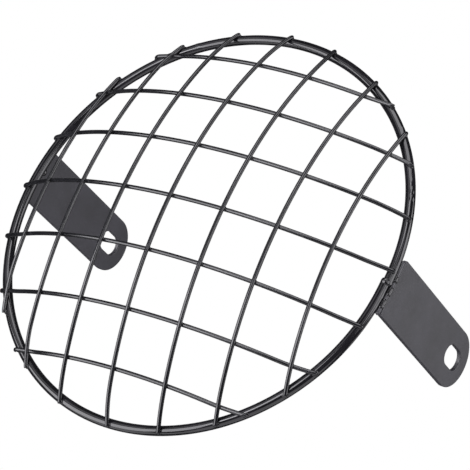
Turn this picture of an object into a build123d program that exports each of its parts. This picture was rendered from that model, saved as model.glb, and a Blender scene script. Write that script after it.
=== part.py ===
from build123d import *
import math
import os

# Headlight mesh grille: a domed wire mesh welded over a round rod rim, with a slotted tab at each side.
# Millimetres. Origin at the rim's centre, X across to the right tab, -Y out of the dome's front, +Z up.

# Rim: one rod bent round, its closing end eased inwards to a small step at the joint
rim_inner_diameter = 180.0
rim_rod_diameter = 4.2
rim_joint_angle = 1.0
rim_joint_step = 0.8
rim_joint_ease = 30.0
rim_weld_height = 0.5
rim_weld_length = 2.6
rod_sides = 10

# Wire mesh: upright wires in front, cross wires behind, all hooked over the rim
wire_diameter = 1.8
wire_pitch = 25.0
wire_edge_gap = 12.0
layer_clearance = 0.06
mesh_turn = 3.5
mesh_shift = -1.7
dome_height = 28.1
wire_wrap_angle = 75.0
lift_run = 9.0
lift_bend_radius = 20.0
wire_sides = 6

# Side tabs: flat strips with a round end and a slot for the side bolt
tab_width = 25.0
tab_thickness = 2.0
tab_outset = 0.7
tab_bite = 0.5
tab_rise = 1.0
tab_lean = 1.4
tab_root_round = 1.0
tab_root_bevel = 1.0
slot_width = 9.0
slot_length = 14.5
slot_distance = 70.0
slot_tip_margin = 6.45

# Weld runs along the roots of the tabs, with the heights where each starts and ends
weld_radius = 1.2
weld_inset = 0.8
weld_set_forward = 0.4
outer_weld_spans = ((-9.5, -4.5), (-3.5, 1.0), (2.5, 6.0))
inner_weld_span = (2.0, 5.0)
weld_sides = 6


def corner_radius(radius, sides):
    """Radius to the corners of the regular polygon that has the area of a circle."""
    return radius * math.sqrt(2 * math.pi / (sides * math.sin(2 * math.pi / sides)))


def round_bar(radius, sides):
    """Section of a round bar, drawn with flat sides and the true area."""
    return RegularPolygon(corner_radius(radius, sides), sides)


# Values worked out from the sizes above
rod_radius = rim_rod_diameter / 2
rim_radius = rim_inner_diameter / 2 + rod_radius
wire_flat = corner_radius(wire_diameter / 2, wire_sides) * math.cos(math.pi / wire_sides)
wire_standoff = corner_radius(rod_radius, rod_sides) + wire_flat
layer_offset = wire_flat + layer_clearance / 2
wires_each_way = 2 * int((rim_radius - wire_edge_gap) / wire_pitch) + 1
tab_inner_face = rim_radius + rod_radius + tab_outset - tab_thickness
tab_root = rod_radius - tab_bite
tab_reach = slot_distance + slot_length / 2 + slot_tip_margin


def tangent_radius(reach, height):
    """Radius of the arc of a height that runs into the hooks' bends at both ends of its reach."""
    return (reach**2 + height**2 - wire_standoff**2) / (2 * (height - wire_standoff))


# The dome is a sphere midway between the layers, and its front layer comes down on to the rim
dome_radius = tangent_radius(rim_radius, dome_height + layer_offset) - layer_offset
dome_centre = dome_height - dome_radius


def at_rim(radius, angle):
    """Point at an angle up from the right-hand side, at a distance from the rim's axis."""
    turn = math.radians(angle)
    return Vector(radius * math.cos(turn), 0, radius * math.sin(turn))


def bent_bar(radius, start, sweep_angle, centre, section):
    """Bar of a drawn section, bent about an axis parallel to Y, from an angle up from +X."""
    turn = math.radians(start)
    spot = centre + at_rim(radius, start)
    place = Plane(spot, x_dir=(0, 1, 0), z_dir=(-math.sin(turn), 0, math.cos(turn)))
    return revolve(place * section, Axis(centre, (0, -1, 0)), sweep_angle)


def rim_ring():
    """One rod bent round, whose closing end runs inwards and meets its start with a small step."""
    rod = round_bar(rod_radius, rod_sides)
    ease_start = rim_joint_angle + 360 - rim_joint_ease
    end_radius = rim_radius - rim_joint_step
    end_out = end_radius * math.cos(math.radians(rim_joint_ease))
    end_on = end_radius * math.sin(math.radians(rim_joint_ease))
    shift = (rim_radius**2 - end_radius**2) / (2 * (rim_radius - end_out))
    ease_sweep = math.degrees(math.atan2(end_on, end_out - shift))
    long_bend = bent_bar(rim_radius, rim_joint_angle, 360 - rim_joint_ease, Vector(0, 0, 0), rod)
    closing = bent_bar(rim_radius - shift, ease_start, ease_sweep, at_rim(shift, ease_start), rod)
    return long_bend + closing


def rim_butt_weld(ring):
    """Raised bead round the joint of the rod's two ends."""
    radius = rim_radius - rim_joint_step / 2
    half = math.degrees(rim_weld_length / 2 / radius)
    bead = round_bar(rod_radius + rim_weld_height, rod_sides)
    collar = bent_bar(radius, rim_joint_angle - half, 2 * half, Vector(0, 0, 0), bead)
    ends = collar.faces().sort_by(Axis.Z)
    collar = chamfer(ends[0].edges() + ends[-1].edges(), rim_weld_height)
    return collar - ring


def hook_place(offset):
    """Middle of a hook's bend, where a wire's plane cuts the outer side of the rim."""
    return math.sqrt((rim_radius + wire_standoff) ** 2 - offset**2) - wire_standoff


def hook_arcs(hook, slope):
    """Bends at both ends of a wire, from where it comes down on the rim at a slope."""
    wrap = math.radians(wire_wrap_angle)
    angles = (slope, (slope + wrap) / 2, wrap)
    points = [(hook + wire_standoff * math.sin(a), wire_standoff * math.cos(a)) for a in angles]
    return [ThreePointArc(*((side * x, y) for x, y in points)) for side in (-1, 1)]


def front_path(offset):
    """Path of a front wire in its plane: one arc over the dome that runs into its hooks."""
    hook = hook_place(offset)
    top = dome_centre + math.sqrt((dome_radius + layer_offset) ** 2 - offset**2)
    slope = math.asin(hook / (tangent_radius(hook, top) - wire_standoff))
    left, right = hook_arcs(hook, slope)
    return Wire([ThreePointArc(left @ 0, (0, top), right @ 0), left, right])


def rear_path(offset):
    """Path of a rear wire in its plane: an arc over the dome, then short runs that lift it over the rim."""
    section = math.sqrt((dome_radius - layer_offset) ** 2 - offset**2)
    leave = math.sqrt(rim_radius**2 - offset**2) - lift_run
    height = dome_centre + math.sqrt(section**2 - leave**2)
    run = hook_place(offset) - leave
    slope = math.atan2(height, run) - math.asin(wire_standoff / math.hypot(run, height))
    left, right = hook_arcs(hook_place(offset), slope)
    dome = ThreePointArc((-leave, height), (0, dome_centre + section), (leave, height))
    path = Wire([dome, Line(dome @ 0, left @ 0), left, Line(dome @ 1, right @ 0), right])
    kinks = path.vertices().filter_by(lambda v: abs(abs(v.X) - leave) < 1e-4)
    return path.fillet_2d(lift_bend_radius, kinks)


def mesh_wire(path, across):
    """Wire swept along its path, turned with the whole mesh, with a flat side towards the dome."""
    start = Plane(path @ 0, x_dir=across, z_dir=path % 0)
    wire = sweep(start * round_bar(wire_diameter / 2, wire_sides), path=path)
    return wire.rotate(Axis((0, 0, 0), (0, -1, 0)), mesh_turn)


def dome_offset(number):
    """Distance from the middle of the mesh of a wire set out along the dome at the pitch."""
    steps = number - (wires_each_way + 1) / 2
    return dome_radius * math.sin(steps * wire_pitch / dome_radius)


def cross_wire(number):
    """Wire of the rear layer, numbered from the top."""
    offset = -dome_offset(number)
    plane = Plane((0, 0, offset), x_dir=(1, 0, 0), z_dir=(0, 0, -1))
    return mesh_wire(plane * rear_path(offset), plane.z_dir)


def upright_wire(number):
    """Wire of the front layer, numbered from the left."""
    offset = dome_offset(number) + mesh_shift
    plane = Plane((offset, 0, 0), x_dir=(0, 0, 1), z_dir=(1, 0, 0))
    return mesh_wire(plane * front_path(offset), plane.z_dir)


def tab_plate():
    """Right-hand tab before it is let in: a flat strip with a round end and a slot."""
    tip_centre = tab_reach - tab_width / 2
    length = tip_centre - tab_root
    strip = Pos(tab_root + length / 2, 0) * Rectangle(length, tab_width)
    strip = fillet(strip.vertices().group_by(Axis.X)[0], tab_root_round)
    strip += Pos(tip_centre, 0) * Circle(tab_width / 2)
    strip -= Pos(slot_distance, 0) * SlotOverall(slot_length, slot_width)
    face = Plane((tab_inner_face, 0, tab_rise), x_dir=(0, 1, 0), z_dir=(1, 0, 0))
    plate = extrude(face * Rot(0, 0, tab_lean) * strip, tab_thickness)

    # the outer edge of the root is bevelled for its weld
    bevel_side = tab_root_bevel * math.sqrt(2)
    edge = Pos(tab_inner_face + tab_thickness, tab_root, tab_rise)
    return plate - edge * Rot(0, 0, 45) * Box(bevel_side, bevel_side, 2 * tab_width)


def weld_run(radius, y, span):
    """Short weld along the right-hand side of the rim, between two heights."""
    start, end = (math.degrees(math.asin(height / radius)) for height in span)
    return bent_bar(radius, start, end - start, Vector(0, y, 0), round_bar(weld_radius, weld_sides))


def tab_welds():
    """Right-hand tab's welds before they are let in: three outside the root and one inside."""
    outer_place = rim_radius + rod_radius, tab_root - weld_set_forward
    inner_place = tab_inner_face - weld_inset, rod_radius
    return [weld_run(*outer_place, span) for span in outer_weld_spans] + [weld_run(*inner_place, inner_weld_span)]


def save(name, solids):
    """Write one piece, or a group of like ones as separate solids, to its own file."""
    piece = solids[0] if len(solids) == 1 else Compound(children=list(solids))
    export_step(piece, f"parts/{name}.step")
    print(name, len(solids), "solid, volume", round(sum(solid.volume for solid in solids), 1))


os.makedirs("parts", exist_ok=True)

ring = rim_ring()
butt_weld = rim_butt_weld(ring)
save("rim_ring", ring.solids())
save("rim_butt_weld", butt_weld.solids())

numbers = range(1, wires_each_way + 1)
cross_wires = [cross_wire(number).solid() for number in numbers]
for number, wire in zip(numbers, cross_wires):
    save(f"cross_wire_{number}", [wire])

# Near the rim the layers close up, and each front wire is sunk a little on to the wire behind it
for number in numbers:
    wire = upright_wire(number)
    for other in cross_wires:
        wire -= other
    save(f"upright_wire_{number}", wire.solids())

plate = tab_plate().solid()
welds = [run.solid() for run in tab_welds()]
for side in ("right", "left"):
    if side == "left":
        plate = mirror(plate, about=Plane.YZ).solid()
        welds = [mirror(run, about=Plane.YZ).solid() for run in welds]
    tab = plate - ring - butt_weld
    seated = [(run - ring - butt_weld - tab).solids().sort_by(SortBy.VOLUME)[-1] for run in welds]
    save(f"{side}_tab", tab.solids())
    save(f"{side}_tab_welds", seated)
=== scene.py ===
# %% [markdown]
# # A wire mesh grille for a round headlamp
# The real guard is made of mild steel: a rod bent into a ring, fourteen thin wires hooked over its
# front and welded where they cross, and two slotted strips that bolt it to the lamp. All of it is
# painted black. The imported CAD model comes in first, as a fixed frame. Every piece made here stands for
# one of its nodes or sits on one, and keeps that node's place, so nothing has to be fitted by eye.

import math

import bpy
import numpy as np
from mathutils import Matrix


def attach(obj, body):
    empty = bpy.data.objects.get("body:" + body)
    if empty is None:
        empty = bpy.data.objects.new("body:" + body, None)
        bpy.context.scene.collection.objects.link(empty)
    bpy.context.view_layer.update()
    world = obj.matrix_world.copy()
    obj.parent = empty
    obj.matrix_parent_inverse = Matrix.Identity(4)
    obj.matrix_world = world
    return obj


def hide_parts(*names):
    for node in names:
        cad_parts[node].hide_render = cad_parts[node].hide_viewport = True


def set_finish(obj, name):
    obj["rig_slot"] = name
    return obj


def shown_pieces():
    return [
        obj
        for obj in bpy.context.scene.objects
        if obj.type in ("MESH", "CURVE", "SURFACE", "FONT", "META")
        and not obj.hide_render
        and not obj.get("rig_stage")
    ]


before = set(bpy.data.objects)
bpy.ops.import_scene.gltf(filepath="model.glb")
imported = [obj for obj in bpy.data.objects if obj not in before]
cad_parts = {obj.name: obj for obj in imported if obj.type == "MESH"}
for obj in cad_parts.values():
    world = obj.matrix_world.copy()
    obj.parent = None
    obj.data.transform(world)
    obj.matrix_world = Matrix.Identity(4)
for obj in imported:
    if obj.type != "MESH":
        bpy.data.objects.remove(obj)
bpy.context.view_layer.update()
print("CAD nodes:", len(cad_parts))

# %% [markdown]
# ## Sizes
# The frame is in metres with its origin at the rim's centre, X across to the right-hand tab, -Y out of
# the dome's front and +Z up. These are the sizes that the CAD part was built from, in millimetres. The
# drawn bars there have flat sides, and here they are truly round. Each wire sinks a hair into what it
# is welded to, which is what a spot weld does, and which keeps the round bars inside the box of the
# flat-sided ones.

# %% Sizes in millimetres
mm = 0.001
rim_radius = 92.1
rod_radius = 2.1
wire_radius = 0.9
dome_height, dome_radius = 28.1, 178.69
sides = {"right": 1, "left": -1}
print("outside of the rim, mm:", round(2 * (rim_radius + rod_radius), 1))

# %% [markdown]
# ## Surfaces from grids
# Every piece of this guard is a bar: some profile carried along some path. So one helper takes a grid
# of points, a row for each step along the path and a column for each step round the profile, and makes
# the mesh from it. The points are worked out with numpy as whole arrays, which is quick, exact, and
# easy to change. The alternative is a curve object with a bevel, but then the profile can't swell at a
# weld.

# %% Turn a grid of points into a mesh
def grid_faces(rows, columns, first, looped):
    """Quads between neighbouring rows and columns. Columns close on themselves, and so do looped rows.
    Open rows get a flat face at each end. Points are numbered row by row, starting from first."""
    steps = np.arange(rows if looped else rows - 1)
    row, column = np.meshgrid(steps, np.arange(columns), indexing="ij")
    ahead, beside = (row + 1) % rows * columns, (column + 1) % columns
    corners = [row * columns + column, row * columns + beside, ahead + beside, ahead + column]
    quads = (np.stack(corners, -1).reshape(-1, 4) + first).tolist()
    if looped:
        return quads, []
    start = np.arange(columns) + first
    return quads, [start[::-1].tolist(), (start + (rows - 1) * columns).tolist()]


def add_piece(name, grids, slot, node=None, looped=False):
    """One object from grids of points in millimetres, each (rows, columns, 3). It stands for a CAD node if
    one is named. Its sides are shaded smooth and its end faces flat."""
    faces, smooth, first = [], [], 0
    for grid in grids:
        quads, ends = grid_faces(*grid.shape[:2], first, looped)
        faces += quads + ends
        smooth += [True] * len(quads) + [False] * len(ends)
        first += grid.shape[0] * grid.shape[1]
    mesh = bpy.data.meshes.new(name)
    points = np.concatenate([grid.reshape(-1, 3) for grid in grids]) * mm
    mesh.from_pydata(points.tolist(), [], faces)
    mesh.polygons.foreach_set("use_smooth", smooth)
    piece = bpy.data.objects.new(name, mesh)
    bpy.context.scene.collection.objects.link(piece)
    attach(piece, "root")
    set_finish(piece, slot)
    if node:
        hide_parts(node)


print("faces of an open grid of 3 rows by 4 columns:", [len(part) for part in grid_faces(3, 4, 0, False)])

# %% [markdown]
# ## Bars
# A bar of round section is a circle carried along a path that lies in a plane: at each point, one axis
# of the circle lies in the plane and is square to the path, and the other is the plane's own normal.
# The sheared end of a wire is blunt with a small soft edge, where paint has pulled back from the
# corner, so the circle shrinks over the last quarter of a millimetre.

# %% A round bar along a path
soft_edge = 0.25
edge_steps = [0, 0.03, 0.08, 0.15]


def walk(path, fine, coarse, fine_length):
    """Points along a path, found by their length along it: close together near its ends, wide between."""
    length = np.concatenate([[0], np.cumsum(np.linalg.norm(np.diff(path, axis=0), axis=1))])
    total = length[-1]
    ends = np.concatenate([edge_steps, np.arange(soft_edge, fine_length, fine)])
    middle = np.linspace(fine_length, total - fine_length, int((total - 2 * fine_length) / coarse) + 2)
    places = np.concatenate([ends, middle, (total - ends)[::-1]])
    return np.stack([np.interp(places, length, axis) for axis in path.T], 1), places, total


def soft_end(places, total, radius, edge=soft_edge):
    """Radius near an end: a quarter circle of the edge's size rounds it, and it is full from there on."""
    depth = np.clip(np.minimum(places, total - places) / edge, 0, 1)
    return radius - edge * (1 - np.sqrt(1 - (1 - depth) ** 2))


def bar_grid(path, normal, radii, around):
    """Circle of each row's radius, set across the path: cosine of the turn times the path's own outward
    direction, plus sine of the turn times the direction square to that and to the path."""
    along = np.gradient(path, axis=0)
    along /= np.linalg.norm(along, axis=1)[:, None]
    outward = np.cross(normal, along)
    outward /= np.linalg.norm(outward, axis=1)[:, None]
    across = np.cross(along, outward)
    turn = np.linspace(0, 2 * np.pi, around, endpoint=False)[:, None]
    circle = np.cos(turn) * outward[:, None] + np.sin(turn) * across[:, None]
    return path[:, None] + np.reshape(radii, (len(path), -1, 1)) * circle


print("radius at the cut end of a wire, mm:", soft_end(0, 1, wire_radius))

# %% [markdown]
# ## The rim
# One rod is bent round and its two ends are butted at the right-hand side. The closing end comes in a
# little short of the start's circle, so the joint has a small step inwards, with a ground-down weld
# over it. The path is two arcs, the long bend and a slightly tighter one that closes it, joined without
# a kink.

# %% Bend the rod
joint = math.radians(1.0)
joint_step = 0.8
ease = math.radians(30.0)
bend_steps, closing_steps = 660, 66


def at_rim(radius, angle, y=0.0):
    """Points at angles up from the right-hand side, at a distance from the rim's axis."""
    return np.stack([radius * np.cos(angle), np.zeros_like(angle) + y, radius * np.sin(angle)], -1)


ease_start = joint + 2 * math.pi - ease
end_radius = rim_radius - joint_step
end_out, end_on = end_radius * math.cos(ease), end_radius * math.sin(ease)
ease_shift = (rim_radius**2 - end_radius**2) / (2 * (rim_radius - end_out))
ease_sweep = math.atan2(end_on, end_out - ease_shift)
long_bend = at_rim(rim_radius, np.linspace(joint, ease_start, bend_steps))
ease_angles = np.linspace(ease_start, ease_start + ease_sweep, closing_steps)
closing = at_rim(ease_shift, np.array([ease_start])) + at_rim(rim_radius - ease_shift, ease_angles)
rim_path = np.concatenate([long_bend, closing[1:]])
print("closing bend, degrees:", round(math.degrees(ease_sweep), 2))

# %% [markdown]
# ## Paint runs
# Wet paint gathers on the rod and dries as low swellings, which break its long highlights. Each is a
# bell curve along the rod times one round it. Bump in the paint would bend the light too, but not the
# outline.

# %% Rod with its paint runs
# angle up the rim, height, reach along the rod, and angle round the rod: from outside, forward is below 0
paint_runs = [
    (24.6, 0.30, 1.0, -0.80),
    (26.6, 0.34, 1.3, -0.87),
    (29.0, 0.16, 1.6, -0.90),
    (45.5, 0.26, 1.5, -0.60),
    (121.5, 0.26, 1.0, -1.20),
    (131.0, 0.15, 2.2, -1.50),
    (218.0, 0.12, 3.0, -1.80),
    (287.0, 0.12, 2.4, -1.40),
]
run_width = 0.5
rim_sides = 36


def swellings(path, columns):
    """Height added by the paint runs: each is its height times e to the minus square of the distance along
    the rod over its reach, times the same for the angle round the rod over the width of a run."""
    angle = np.degrees(np.arctan2(path[:, 2], path[:, 0])) % 360
    turn = np.linspace(0, 2 * np.pi, columns, endpoint=False)
    added = np.zeros((len(path), columns))
    for place, height, reach, side in paint_runs:
        along = (angle - place) * math.radians(1) * rim_radius / reach
        aside = np.angle(np.exp(1j * (turn - side))) / run_width
        added += height * np.exp(-(along[:, None] ** 2)) * np.exp(-(aside**2))
    return added


rim_points, rim_places, rim_length = walk(rim_path, fine=0.5, coarse=0.8, fine_length=4.0)
rim_radii = soft_end(rim_places, rim_length, rod_radius)[:, None] + swellings(rim_points, rim_sides)
add_piece("rim_rod", [bar_grid(rim_points, (0, 1, 0), rim_radii, rim_sides)], "painted_rod", "rim_ring")
print("rim rod length, mm:", round(rim_length, 1))

# %% [markdown]
# ## The wires
# Seven upright wires lie in front of seven cross wires. In the real guard each wire is bent over the
# dome in a flat plane, hooked round the outside of the rim and welded. A front wire is a single arc
# that runs into its hooks. A rear wire follows the dome just under the front ones, then leaves it near
# the rim and runs straight to climb over the rod. Both paths are worked out for one half and mirrored,
# and then each end wraps round the rod by its own angle, as the bending tool went further on one side.

# %% Paths of the wires in their own planes
# how far the hooks wrap round the rod, in degrees: at the lower and upper ends, at the left and right ends
wraps = {"upright": (50.0, 62.0), "cross": (72.0, 50.0)}

# a rear wire leaves the dome this far before the rim, through a bend of this radius
lift_run, lift_bend = 9.0, 20.0

# between the middles of rod and hook, and from the dome to each layer's middle: less than the bars' own
# radii would make it, because the wires are pressed together as they are welded
standoff = 2.55
layer_offset = 0.84


def arc(centre, radius, start, end, step=0.2):
    """Points of an arc about a centre, from one angle to another, with angles taken from straight up."""
    angle = np.linspace(start, end, max(3, int(abs(end - start) * radius / step)))
    return np.asarray(centre) + radius * np.stack([np.sin(angle), np.cos(angle)], 1)


def hook_place(offset):
    """Middle of a hook's bend, where a wire's plane cuts the outer side of the rim."""
    return math.sqrt((rim_radius + standoff) ** 2 - offset**2) - standoff


def whole_wire(half, hook, slope, ends):
    """Half a dome and its mirror image, and at each end a hook's arc that wraps as far as that end does."""
    left, right = (arc((hook, 0), standoff, slope, math.radians(wrap))[1:] for wrap in ends)
    return np.concatenate([left[::-1] * (-1, 1), half[::-1] * (-1, 1), half[1:], right])


def front_path(offset, ends):
    """One arc over the dome whose ends run into the hooks: its circle touches both hooks' circles."""
    hook = hook_place(offset)
    top = dome_height - dome_radius + math.sqrt((dome_radius + layer_offset) ** 2 - offset**2)
    radius = (hook**2 + top**2 - standoff**2) / (2 * (top - standoff))
    slope = math.asin(hook / (radius - standoff))
    return whole_wire(arc((0, top - radius), radius, 0, slope), hook, slope, ends)


def rear_path(offset, ends):
    """The dome's arc, an arc the other way, a straight run and the hook, each one tangent to the next."""
    section = math.sqrt((dome_radius - layer_offset) ** 2 - offset**2)
    low = dome_height - dome_radius
    leave = math.sqrt(rim_radius**2 - offset**2) - lift_run
    height = low + math.sqrt(section**2 - leave**2)
    hook = hook_place(offset)
    run = hook - leave
    slope = math.atan2(height, run) - math.asin(standoff / math.hypot(run, height))

    # the arc the other way touches the run, and its middle lies both radii away from the dome's
    down, up = np.array([math.cos(slope), -math.sin(slope)]), np.array([math.sin(slope), math.cos(slope)])
    corner = np.array([leave, height]) + lift_bend * up - (0, low)
    half_b, c = corner @ down, corner @ corner - (section + lift_bend) ** 2
    bend = corner + down * (-half_b + math.sqrt(half_b**2 - c))
    start = math.atan2(bend[0], bend[1])
    bend += (0, low)
    back = arc(bend, lift_bend, start + math.pi, slope + math.pi)
    return whole_wire(np.concatenate([arc((0, low), section, 0, start), back[1:]]), hook, slope, ends)


print("top of the middle upright wire, mm:", round(front_path(0, wraps["upright"])[:, 1].max(), 2))
print("top of the middle cross wire, mm:", round(rear_path(0, wraps["cross"])[:, 1].max(), 2))

# %% [markdown]
# ## A handmade mesh
# A jig sets the wires at an even pitch along the dome, but they were hooked and welded by hand. So each
# wire strays by a millimetre or so, and its ends are pushed aside a little more along the rim. Those
# amounts are listed for each wire. Pushing a finished wire's points aside would pull its hooks off the
# round rim. Instead its flat path is worked out anew at each place it passes through, and the paths are
# blended.

# %% Even places and strays
wires_each_way = 7
wire_pitch = 25.0
mesh_turn, mesh_shift = math.radians(3.5), -1.7
wire_steps = 1200
numbers = range(1, wires_each_way + 1)

# how far the start (lower or left), the middle and the end of each wire lie off its even place
strays = {
    "upright": [
        (-1.3, -0.7, -0.9),
        (-1.0, -0.1, -1.8),
        (0, 0.3, -1.3),
        (1.2, 0.1, 0.5),
        (1.2, 0.5, 0),
        (-0.1, 0.2, 1.1),
        (0.3, -0.3, 1.1),
    ],
    "cross": [
        (0.8, 0.5, -1.4),
        (1.1, 0.4, -0.9),
        (1.4, 0.6, 0.5),
        (0.9, 0.3, 0.7),
        (-0.3, 0.6, -0.3),
        (-1.1, 0, -0.5),
        (-1.1, 0.1, -1.4),
    ],
}

# how much further its two ends are pushed aside at the rim, over the last stretch of the wire
end_bends = {
    "upright": [(2.8, 1.4), (2.7, 2.7), (0.9, 2.1), (1.5, 1.4), (0.5, 0), (0.5, 0), (0.3, 0)],
    "cross": [(-1.5, 0), (-2.1, -1.2), (-2.4, -1.5), (-2.1, 0), (-0.6, 0), (0, 1.0), (0, 0.8)],
}
end_bend_length = 18.0


def dome_offset(number):
    """Distance from the middle of the mesh of a wire set out along the dome at the pitch."""
    return dome_radius * math.sin((number - (wires_each_way + 1) / 2) * wire_pitch / dome_radius)


print("even places of the wires, mm:", [round(dome_offset(number), 1) for number in numbers])


# %% Set the wires in the mesh
def turn_mesh(points):
    """Points turned with the whole mesh about the rim's axis."""
    c, s = math.cos(mesh_turn), math.sin(mesh_turn)
    x, y, z = np.moveaxis(points, -1, 0)
    return np.stack([x * c - z * s, y, x * s + z * c], -1)


def spaced(flat, sideways, t):
    """A flat path at even steps of its length, as places along the wire, out of the dome and sideways."""
    length = np.concatenate([[0], np.cumsum(np.linalg.norm(np.diff(flat, axis=0), axis=1))])
    along, out = (np.interp(t * length[-1], length, axis) for axis in flat.T)
    return np.stack([along, out, np.full_like(t, sideways)], 1)


def wire_points(kind, number):
    """A wire's place along it, out of the dome and sideways, before the mesh is turned.

    Flat paths are worked out at the sideways places of its start, middle and end, and each point is the
    sum of the three, weighted by the parabola through them. Near each end, the path at the bent end's
    place is blended in by the square of how far along the bent stretch the point is. So both hooks stay
    on the rim."""
    even = dome_offset(number) + mesh_shift if kind == "upright" else -dome_offset(number)
    flat_path = front_path if kind == "upright" else rear_path
    t = np.linspace(0, 1, wire_steps)
    parabola = 2 * (t - 0.5) * (t - 1), 4 * t * (1 - t), 2 * t * (t - 0.5)
    places = [even + stray for stray in strays[kind][number - 1]]
    moved = [spaced(flat_path(place, wraps[kind]), place, t) for place in places]
    points = sum(weight[:, None] * flat for weight, flat in zip(parabola, moved))
    reach = end_bend_length / np.linalg.norm(np.diff(points, axis=0), axis=1).sum()
    for near, flat, bend in zip((1 - t, t), moved[::2], end_bends[kind][number - 1]):
        sideways = flat[0, 2] + bend
        push = np.clip((near - 1 + reach) / reach, 0, 1) ** 2
        points = points + push[:, None] * (spaced(flat_path(sideways, wraps[kind]), sideways, t) - flat)
    return points


def in_guard(kind, points):
    """Those points in the guard: an upright wire runs up and strays across, a cross wire the other way."""
    along, out, aside = np.moveaxis(np.asarray(points, float), -1, 0)
    return turn_mesh(np.stack([aside, -out, along] if kind == "upright" else [along, -out, aside], -1))


wire_sides = 18
wire_normals = {"upright": turn_mesh(np.array([1.0, 0, 0])), "cross": turn_mesh(np.array([0.0, 0, 1]))}
flat_wires = {(kind, number): wire_points(kind, number) for kind in wraps for number in numbers}
for (kind, number), flat in flat_wires.items():
    points, places, length = walk(in_guard(kind, flat), fine=0.3, coarse=1.5, fine_length=9.0)
    grid = bar_grid(points, wire_normals[kind], soft_end(places, length, wire_radius), wire_sides)
    add_piece(f"{kind}_bar_{number}", [grid], "painted_wire", f"{kind}_wire_{number}")
    print(kind, number, "length, mm:", round(length, 1))

# %% [markdown]
# ## Spot welds
# Where two wires cross, the welder squeezes them together and a little metal fills the corner between
# them. Where a wire hooks over the rim, the same weld leaves a small flare on each side of the wire.
# Paint then softens both. Each is a flattened ball half buried in the bars, which gives the eye that
# soft corner. A boolean union with a bevel would make it too, but slowly, and with a ragged mesh.

# %% Pads of metal where wires cross
crossing_pad, crossing_spread = np.array([0.40, 1.0, 1.0]), (0.9, 1.1)
pole = 1.45
rng = np.random.default_rng(7)

# wires that would cross over the rim itself share their hooks' welds instead
rim_clearance = 3


def unit(vector):
    """The vector at a length of one."""
    return np.asarray(vector, float) / np.linalg.norm(vector)


def pad_grid(centre, axis, across, half_sizes, around=14, steps=9):
    """A ball squashed to three half sizes: along its axis, along the direction across, and square to both.
    Its rows run from angle -pole to angle pole, just short of both poles, and a flat face closes each."""
    tall, wide, broad = half_sizes
    level = np.sin(np.linspace(-pole, pole, steps))
    turn = np.linspace(0, 2 * np.pi, around, endpoint=False)
    oval = np.hypot(wide * np.cos(turn), broad * np.sin(turn))
    spine = centre + tall * level[:, None] * axis
    return bar_grid(spine, across, np.sqrt(1 - level**2)[:, None] * oval, around)


def meeting(front, rear):
    """Where two wires cross: each wire's sideways place is looked up from the other's, over and over."""
    x, z = front[wire_steps // 2, 2], rear[wire_steps // 2, 2]
    for _ in range(6):
        x, z = np.interp(z, front[:, 0], front[:, 2]), np.interp(x, rear[:, 0], rear[:, 2])
    height = (np.interp(z, front[:, 0], front[:, 1]) + np.interp(x, rear[:, 0], rear[:, 1])) / 2
    return np.array([x, -height, z])


crossings = []
for upright in numbers:
    for cross in numbers:
        spot = meeting(flat_wires["upright", upright], flat_wires["cross", cross])
        if math.hypot(spot[0], spot[2]) < rim_radius - rim_clearance:
            out = unit(spot + (0, dome_height - dome_radius, 0))
            level_way = unit(np.cross(out, (1, 0, 1)))
            size = crossing_pad * rng.uniform(*crossing_spread, 3)
            crossings.append(pad_grid(turn_mesh(spot), turn_mesh(out), turn_mesh(level_way), size))
add_piece("crossing_welds", crossings, "painted_weld")
print("crossings welded:", len(crossings))

# %% Flares where wires hook over the rim
hook_pad, hook_spread = np.array([0.4, 1.1, 1.35]), (0.85, 1.15)

# each flare sits half a millimetre or so in from the cut end of its wire
steps_from_end = 4
flares = []
for (kind, number), flat in flat_wires.items():
    for end in in_guard(kind, flat[[steps_from_end, -1 - steps_from_end]]):
        radial = unit([end[0], 0, end[2]])
        lean = unit(end - radial * rim_radius)
        foot = radial * rim_radius + lean * rod_radius
        size = hook_pad * rng.uniform(*hook_spread, 3)
        flares.append(pad_grid(foot, lean, unit(np.cross(lean, (0, 1, 0))), size))
add_piece("hook_welds", flares, "painted_weld")
print("hook ends welded:", len(flares))

# %% [markdown]
# ## Welds laid by hand
# The roots of the tabs and the joint of the rod's ends are welded with a torch. Such a bead is a row of
# small puddles, each frozen over the last, so its surface swells and narrows every two millimetres or
# so and its ends are rounded. The radius along the bead is a round-ended profile times that ripple.
# Three short beads lie outside each tab and one inside.

# %% Beads at the tabs
bead_steps, bead_sides = 48, 16
ripple_length, ripple_low, ripple_height, lump_height = 1.8, 0.98, 0.035, 0.03
outer_place, outer_bead = (94.15, 1.2), 1.15
outer_spans = ((-9.5, -4.5), (-3.5, 1.0), (2.5, 6.0))
inner_place, inner_bead, inner_span, inner_seed = (92.1, 2.5), 1.5, (1.2, 4.6), 5


def bead_radii(length, radius, seed):
    """Round-ended bead: half a circle at each end, times ripples along it, times slow lumps round it."""
    s = np.linspace(0, length, bead_steps)
    blunt = np.clip(np.minimum(s, length - s) / radius, 0.002, 1)
    ends = np.sqrt(1 - (1 - blunt) ** 2)
    waves = ripple_low + ripple_height * np.abs(np.sin(np.pi * s / ripple_length + seed))
    turn = np.linspace(0, 2 * np.pi, bead_sides, endpoint=False)
    twist, drift = 1.7 * s[:, None] + seed, 0.9 * s[:, None] + 2 * seed
    lumps = 1 + lump_height * np.sin(2 * turn[None] + twist) * np.sin(drift)
    return radius * (ends * waves)[:, None] * lumps


def tab_bead(side, place, span, bead, seed):
    """Bead along the rim beside a tab, at a radius and depth and between two heights, on one side."""
    radius, y = place
    start, end = (math.asin(height / radius) for height in span)
    path = at_rim(radius, np.linspace(start, end, bead_steps), y) * (side, 1, 1)
    return bar_grid(path, (0, side, 0), bead_radii(radius * (end - start), bead, seed), bead_sides)


print("fullest radius of an outer bead, mm:", round(bead_radii(5.0, outer_bead, 0).max(), 2))

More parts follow.
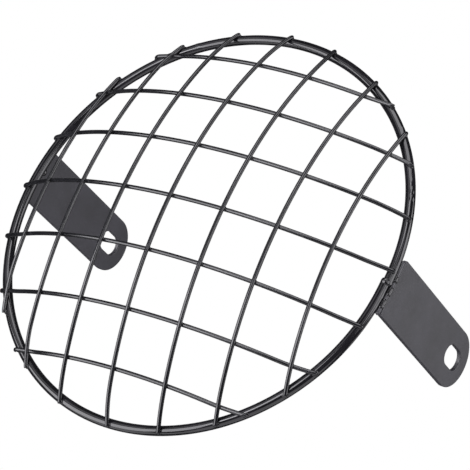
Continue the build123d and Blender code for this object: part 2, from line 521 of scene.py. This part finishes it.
# %% [markdown]
# ## Paint in the corners
# Between its welds, each tab only touches the rod, and paint fills that corner from end to end. It is a
# thin bar along the root, which bows half as much as the rim, as it follows the straight tab and the
# round rod.

# %% Beads and fillets at the roots of the tabs
fillet_ends, fillet_steps = (-12.0, 13.0), 60
fillet_x, fillet_y, fillet_bow = 93.95, 1.3, 370
fillet_radius, fillet_round = 0.95, 0.9


def root_fillet(side):
    """Bar along a tab's root whose place across falls off by the square of the height over the bow."""
    height = np.linspace(*fillet_ends, fillet_steps)
    x = side * (fillet_x - height**2 / fillet_bow)
    root = np.stack([x, np.full_like(height, fillet_y), height], 1)
    radii = soft_end(height - fillet_ends[0], fillet_ends[1] - fillet_ends[0], fillet_radius, fillet_round)
    return bar_grid(root, (0, side, 0), radii, bead_sides)


for name, side in sides.items():
    beads = [tab_bead(side, outer_place, span, outer_bead, seed) for seed, span in enumerate(outer_spans)]
    beads.append(tab_bead(side, inner_place, inner_span, inner_bead, inner_seed))
    add_piece(f"{name}_tab_beads", beads, "painted_weld", f"{name}_tab_welds")
    add_piece(f"{name}_root_fillet", [root_fillet(side)], "painted_strip")
    print(name, "tab: beads", len(beads), "and fillets 1")

# %% [markdown]
# ## The weld that closes the rim
# The bead over the rod's joint was ground down, so it is a low collar with a rounded crown and a few
# lumps left round it. Its radius starts just under the rod's, so no edge shows where it begins.

# %% Bead over the rim's joint
collar_length, collar_sink, collar_rise = 2.6, 0.15, 0.6
collar_radius = rim_radius - joint_step / 2
across_collar = np.linspace(-1, 1, 41)
collar_path = at_rim(collar_radius, joint + 0.5 * across_collar * collar_length / collar_radius)
crown = np.sqrt(1 - across_collar**2)[:, None]
turn = np.linspace(0, 2 * np.pi, rim_sides, endpoint=False)
lumps = 1 + 0.2 * np.sin(3 * turn + 0.6)[None] * np.cos(2 * across_collar)[:, None]
collar_radii = rod_radius - collar_sink + collar_rise * crown * lumps
collar = bar_grid(collar_path, (0, 1, 0), collar_radii, rim_sides)
add_piece("joint_bead", [collar], "painted_weld", "rim_butt_weld")
print("joint bead stands off the rod by, mm:", round(collar_radii.max() - rod_radius, 2))

# %% [markdown]
# ## The tabs
# Each tab is a 2 mm strip, blanked to a round end, punched with a slot and let in behind the rim. A
# plate with one hole is a ring in the mathematical sense. So its surface is one closed grid: the rows
# go round the outline, and the columns go round the section, out over the edge, across one face to the
# slot, through the slot and back along the other face. Punching and paint leave the edges softly
# rounded.

# %% Outline of a tab and its slot
tab_thickness, tab_edge, tab_margin, tab_half = 2.0, 0.3, 0.4, 12.5
tab_inner_face, tab_rise, tab_lean = 92.9, 1.0, math.radians(1.4)
tab_root, tab_corner, tip_centre = 1.6, 1.0, 71.19
slot_centre, slot_half_run, slot_radius = 70.0, 2.75, 4.5
side_points, root_points = 70, 24


def tab_outline():
    """Outline, clockwise: a small round at a root corner, a long side, the round end, the other side, the
    other corner and the root. Rounds are arcs, and the rest are straight rows of points between them."""
    corner = tab_root + tab_corner
    quarter = np.pi / 2
    first = arc((corner, tab_half - tab_corner), tab_corner, -quarter, 0)
    tip = arc((tip_centre, 0), tab_half, 0, 2 * quarter, 0.4)
    side = np.linspace(first[-1], tip[0], side_points)[1:-1]
    last = arc((corner, tab_corner - tab_half), tab_corner, 2 * quarter, 3 * quarter)
    root = np.linspace(last[-1], first[0], root_points)[1:-1]
    return np.concatenate([first, side, tip, side[::-1] * (1, -1), last, root])


def slot_beside(outline):
    """For each outline point, where the line to it from the slot's centre leaves the slot, and the way out
    there. On a straight side, the reach is the radius over the sine of the line's angle; on a round end, it
    is the distance at which the line leaves that end's circle."""
    angle = np.arctan2(outline[:, 1], outline[:, 0] - slot_centre)
    c, s = np.abs(np.cos(angle)), np.abs(np.sin(angle))
    on_side = slot_radius * c <= slot_half_run * s
    side_reach = slot_radius / np.maximum(s, 1e-9)
    end_reach = slot_half_run * c + np.sqrt(np.maximum(slot_radius**2 - (slot_half_run * s) ** 2, 0))
    reach = np.where(on_side, side_reach, end_reach)
    point = reach[:, None] * np.stack([np.cos(angle), np.sin(angle)], 1)
    hub = np.stack([np.clip(point[:, 0], -slot_half_run, slot_half_run), np.zeros(len(point))], 1)
    return point + (slot_centre, 0), (point - hub) / slot_radius


print("points round a tab:", len(tab_outline()))


# %% Plates with a slot
def tab_grid(side):
    """Rows round the outline and columns round the section, whose edges are quarter circles. The flat plate
    is leant by its angle, raised, and set up on its edge at the rim, on the right (1) or the left (-1)."""
    outline = tab_outline()
    run = np.roll(outline, -1, 0) - np.roll(outline, 1, 0)
    inward = np.stack([run[:, 1], -run[:, 0]], 1) / np.linalg.norm(run, axis=1)[:, None]
    slot, away = slot_beside(outline)
    q = np.linspace(0, np.pi / 2, 6)
    rising, turning = tab_edge * (1 - np.cos(q)), tab_edge * (1 - np.sin(q))
    inset = np.concatenate([[tab_edge + tab_margin], turning, rising, [tab_edge + tab_margin]])
    rise = np.concatenate([[0], rising, tab_thickness - turning, [tab_thickness]])
    rim_part = outline[:, None] + inward[:, None] * inset[:, None]
    slot_part = slot[:, None] + away[:, None] * inset[:, None]
    a, b = np.moveaxis(np.concatenate([rim_part, slot_part], 1), -1, 0)
    c, s = math.cos(tab_lean), math.sin(tab_lean)
    x = np.broadcast_to(tab_inner_face + np.concatenate([rise, rise[::-1]]), a.shape)
    grid = np.stack([side * x, a * c - b * s, tab_rise + a * s + b * c], -1)

    # mirroring turns a surface inside out, so the left tab's columns run the other way
    return grid[:, ::side]


for name, side in sides.items():
    add_piece(f"{name}_strip", [tab_grid(side)], "painted_strip", f"{name}_tab", looped=True)

# %% [markdown]
# ## Black paint
# The guard is sprayed in a semi-gloss black enamel, so there is one finish in four conditions. Up close
# it has orange peel, a fine waviness left as the drops flowed together, and its gloss changes slowly
# from place to place. So four sizes of noise on the piece's own coordinates give slow patches of tone,
# drifting gloss, peel as bump, and specks of dust. An image would do as well, but it would need each
# piece unwrapped.

# %% A function that adds a node, and one for colours
def linear(hex_code):
    """Linear colour of an sRGB hex code: a channel is divided by 12.92 near black, and elsewhere it has
    0.055 added, is divided by 1.055 and is raised to the power of 2.4."""
    values = np.array([int(hex_code[i : i + 2], 16) for i in (1, 3, 5)]) / 255
    return (*np.where(values <= 0.04045, values / 12.92, ((values + 0.055) / 1.055) ** 2.4), 1.0)


def add_node(tree, kind, inputs=(), **settings):
    """Adds a node, sets its own settings, and fills its inputs with values or other nodes' outputs."""
    node = tree.nodes.new(kind)
    for key, value in settings.items():
        setattr(node, key, value)
    for key, value in dict(inputs).items():
        if isinstance(value, bpy.types.NodeSocket):
            tree.links.new(value, node.inputs[key])
        else:
            node.inputs[key].default_value = value
    return node


print("the dust's colour, linear:", [round(float(v), 3) for v in linear("#8d8b92")])

# %% Semi-gloss black
# in millimetres; real dust is nearer 0.1 and real peel nearer 1, and both are drawn coarser so they show
patch_size, drift_size, speck_size = 14, 5, 0.6

# a Mix node keeps its colours at these numbers among its inputs and outputs
first_colour, second_colour, mixed_colour = 6, 7, 2


def black_paint(name, dark, light, gloss, peel_size, peel_depth, dust=0.0):
    """Semi-gloss black: two tones in slow patches, roughness that drifts, orange peel, and sparse dust."""
    material = bpy.data.materials.new(name)
    material.use_nodes = True
    tree = material.node_tree
    tree.nodes.clear()
    place = add_node(tree, "ShaderNodeTexCoord").outputs["Object"]
    sizes = {"patches": patch_size, "drift": drift_size, "peel": peel_size, "specks": speck_size}
    details = {"patches": 2.0, "drift": 2.0, "peel": 1.0, "specks": 0.0}
    noise = {}
    for use, size in sizes.items():
        inputs = {"Vector": place, "Scale": 1 / (size * mm), "Detail": details[use]}
        noise[use] = add_node(tree, "ShaderNodeTexNoise", inputs).outputs["Fac"]

    # the middle third of the slow noise runs from the dark tone to the light one
    inputs = {"Value": noise["patches"], "From Min": 0.35, "From Max": 0.65}
    patches = add_node(tree, "ShaderNodeMapRange", inputs)
    inputs = {"Factor": patches.outputs["Result"], first_colour: linear(dark), second_colour: linear(light)}
    tone = add_node(tree, "ShaderNodeMix", inputs, data_type="RGBA")

    # only the noise's highest peaks are specks of dust
    inputs = {"Value": noise["specks"], "From Min": 0.70, "From Max": 0.78, "To Max": dust}
    specks = add_node(tree, "ShaderNodeMapRange", inputs)
    inputs = {"Factor": specks.outputs["Result"], first_colour: tone.outputs[mixed_colour]}
    inputs[second_colour] = linear("#8d8b92")
    dusty = add_node(tree, "ShaderNodeMix", inputs, data_type="RGBA")

    # the gloss drifts between its two ends, and the peel stands as high as its depth
    inputs = {"Value": noise["drift"], "From Min": 0.3, "From Max": 0.7}
    rough = add_node(tree, "ShaderNodeMapRange", {**inputs, "To Min": gloss[0], "To Max": gloss[1]})
    inputs = {"Height": noise["peel"], "Strength": 1.0, "Distance": peel_depth * mm}
    peel = add_node(tree, "ShaderNodeBump", inputs)
    surface = {
        "Base Color": dusty.outputs[mixed_colour],
        "Roughness": rough.outputs["Result"],
        "Normal": peel.outputs["Normal"],
        "IOR": 1.5,
        # a trace of violet pigment tints what the paint mirrors
        "Specular Tint": linear("#fbfaff"),
    }
    shader = add_node(tree, "ShaderNodeBsdfPrincipled", surface)
    add_node(tree, "ShaderNodeOutputMaterial", {"Surface": shader.outputs["BSDF"]})
    return material


# name, dark tone, light tone, range of roughness, size and depth of the peel in millimetres
finishes = {
    # on the rod the film is thick and has flowed out, so its bands of light are long and nearly sharp
    "painted_rod": black_paint("semi_gloss_black_on_rod", "#0b0b0d", "#141317", (0.08, 0.13), 3.2, 0.004),
    # on thin wire it is pulled tight, with a finer peel and one softer line of light
    "painted_wire": black_paint("semi_gloss_black_on_wire", "#0b0b0e", "#151518", (0.13, 0.20), 2.6, 0.003),
    # over welds it pools, darker and lumpier, and glints in small points
    "painted_weld": black_paint("thick_black_on_welds", "#0a0a0c", "#121114", (0.10, 0.16), 2.4, 0.008),
    # on the flat strips it dries satin, one even grey with a faint violet bloom and fine dust
    "painted_strip": black_paint(
        "satin_black_on_strip", "#232227", "#2a292f", (0.40, 0.46), 1.6, 0.004, dust=0.05
    ),
}
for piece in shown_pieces():
    if "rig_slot" in piece:
        piece.data.materials.append(finishes[piece["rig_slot"]])
print("finishes:", len(finishes))

# %% [markdown]
# ## The floor
# The guard is seen from in front and below, as it sits on a motorbike, so the floor lies well under it.
# It is white paper with a faint cloudiness. The photograph shows neither the floor nor a mirror image
# of it, so it is left out of the paint's reflections, and it gets a lamp of its own, below the guard.

# %% Paper floor
half, low = 9, -1.3
floor_corners = [(-half, -half, low), (half, -half, low), (half, half, low), (-half, half, low)]
floor_mesh = bpy.data.meshes.new("floor")
floor_mesh.from_pydata(floor_corners, [], [(0, 1, 2, 3)])
floor = bpy.data.objects.new("floor", floor_mesh)
bpy.context.scene.collection.objects.link(floor)
floor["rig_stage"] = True
floor.visible_glossy = False
floor_finish = bpy.data.materials.new("white_paper")
floor_finish.use_nodes = True
tree = floor_finish.node_tree
paper = tree.nodes["Principled BSDF"]
place = add_node(tree, "ShaderNodeTexCoord").outputs["Object"]
cloud = add_node(tree, "ShaderNodeTexNoise", {"Vector": place, "Scale": 4.0}).outputs["Fac"]
shade = add_node(tree, "ShaderNodeMapRange", {"Value": cloud, "To Min": 0.74, "To Max": 0.78})
tree.links.new(shade.outputs["Result"], paper.inputs["Base Color"])
paper.inputs["Roughness"].default_value = 0.9
floor_mesh.materials.append(floor_finish)
print("floor below the guard's centre, m:", -low)

# %% [markdown]
# ## The lights
# Black paint hardly has a shade of its own, so what gives it form is what it mirrors. Each bright band
# on the rod and the wires shows where a soft light stood in the studio. Large ones at the left, at the
# right and overhead give the long bands. Smaller ones nearer to the camera give a second, finer band. A
# white table below and weak lights at the lower left and behind keep the undersides from going flat.
# Places are given as the photographer sees them, so they are easy to picture and to change.

# %% Soft lights round the guard
view_right = np.array([0.7937, 0.4010, 0.4574])
view_up = np.array([-0.25346, -0.46557, 0.84794])
view_back = np.array([0.55303, -0.78893, -0.26787])


def from_camera_side(right, up, back):
    """Direction given as the photographer sees it: to the right, up and back towards the camera."""
    return unit(right * view_right + up * view_up + back * view_back)


def placed(axes, place):
    """Matrix of an object from its own three axes and its place."""
    return Matrix([[*row, p] for row, p in zip(np.stack(axes, 1), place)] + [[0, 0, 0, 1]])


def softbox(name, way, distance, size, radiance):
    """Soft oblong source that faces the guard. Its power is its radiance times its area times pi."""
    light = bpy.data.lights.new(name, "AREA")
    light.shape, (light.size, light.size_y) = "RECTANGLE", size
    light.energy = radiance * size[0] * size[1] * math.pi
    lamp = bpy.data.objects.new(name, light)
    back = unit(way)
    side = unit(np.cross(view_up, back))
    lamp.matrix_world = placed((side, np.cross(back, side), back), back * distance)
    lamp.visible_camera = False
    bpy.context.scene.collection.objects.link(lamp)


# name, where it stands, how far off in metres, its width and height, how bright it is
softbox("left_front", from_camera_side(-1.2, 0.05, 0.55), 0.9, (0.9, 0.8), 6.0)
softbox("left_middle", from_camera_side(-0.5, 0.3, 0.80), 1.0, (0.4, 0.4), 8.0)
softbox("upper_middle", from_camera_side(0.0, 0.75, 0.60), 1.0, (0.4, 0.25), 5.6)
softbox("upper_left", from_camera_side(-0.6, 0.75, 0.34), 0.9, (0.4, 0.4), 1.1)
softbox("top_front", from_camera_side(0.10, 1.0, 0.30), 0.9, (0.8, 0.42), 4.2)
softbox("right_side", from_camera_side(1.0, 0.05, 0.25), 0.9, (0.55, 0.75), 4.2)
softbox("right_front", from_camera_side(0.64, 0.10, 0.75), 1.2, (0.5, 0.5), 3.8)
softbox("white_table", from_camera_side(0.1, -1.0, 0.5), 0.8, (1.2, 0.8), 1.5)
softbox("lower_left", from_camera_side(-0.78, -0.66, 0.10), 0.9, (0.6, 0.6), 1.5)
softbox("over_camera", from_camera_side(0.3, 0.45, 0.85), 1.6, (0.8, 0.7), 1.6)
softbox("back_right", (0.64, 0.735, 0.223), 0.54, (0.28, 0.38), 0.9)

# the floor's own lamp hangs below the guard and faces down, so its distance is negative
softbox("over_floor", (0, 0, 1), -0.4, (18, 18), 1.2)
print("lights:", len(bpy.data.lights))

# %% [markdown]
# ## World and camera
# The camera sees white all round. The paint mirrors dark card instead, which keeps it black between the
# bands, with a faint paper roll behind the guard. A long lens from about a metre away keeps the ring's
# ellipse nearly true, and it looks up from below and from the guard's right.

# %% World
card_level, roll_level = 0.05, 0.15

# the roll fades in between these two cosines of the angle from straight behind the guard
roll_edge, roll_full = 0.7, 0.9
world = bpy.data.worlds.new("studio")
bpy.context.scene.world = world
world.use_nodes = True
tree = world.node_tree
tree.nodes.clear()
white = add_node(tree, "ShaderNodeBackground", {"Color": (1, 1, 1, 1), "Strength": 1.0})
way = add_node(tree, "ShaderNodeTexCoord").outputs["Generated"]
behind = add_node(tree, "ShaderNodeVectorMath", {0: way, 1: tuple(-view_back)}, operation="DOT_PRODUCT")
fade = {"From Min": roll_edge, "From Max": roll_full, "To Min": card_level, "To Max": roll_level}
paper_roll = add_node(tree, "ShaderNodeMapRange", {"Value": behind.outputs["Value"], **fade})
dim = {"Color": (1, 1, 1, 1), "Strength": paper_roll.outputs["Result"]}
card = add_node(tree, "ShaderNodeBackground", dim)
seen = add_node(tree, "ShaderNodeLightPath").outputs["Is Camera Ray"]
both = add_node(tree, "ShaderNodeMixShader", {0: seen, 1: card.outputs[0], 2: white.outputs[0]})
add_node(tree, "ShaderNodeOutputWorld", {"Surface": both.outputs[0]})
print("world nodes:", len(tree.nodes))

# %% Camera
camera_place = np.array([0.56310, -0.78029, -0.26356])
camera_data = bpy.data.cameras.new("camera")
camera_data.sensor_width, camera_data.lens = 36.0, 183.05
camera = bpy.data.objects.new("camera", camera_data)
camera.matrix_world = placed((view_right, view_up, view_back), camera_place)
bpy.context.scene.collection.objects.link(camera)
bpy.context.scene.camera = camera
bpy.context.scene.view_settings.view_transform = "Standard"
print("camera's distance, m:", round(float(np.linalg.norm(camera_place)), 3))

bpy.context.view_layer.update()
triangles = sum(len(polygon.vertices) - 2 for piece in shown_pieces() for polygon in piece.data.polygons)
print("triangles:", triangles)
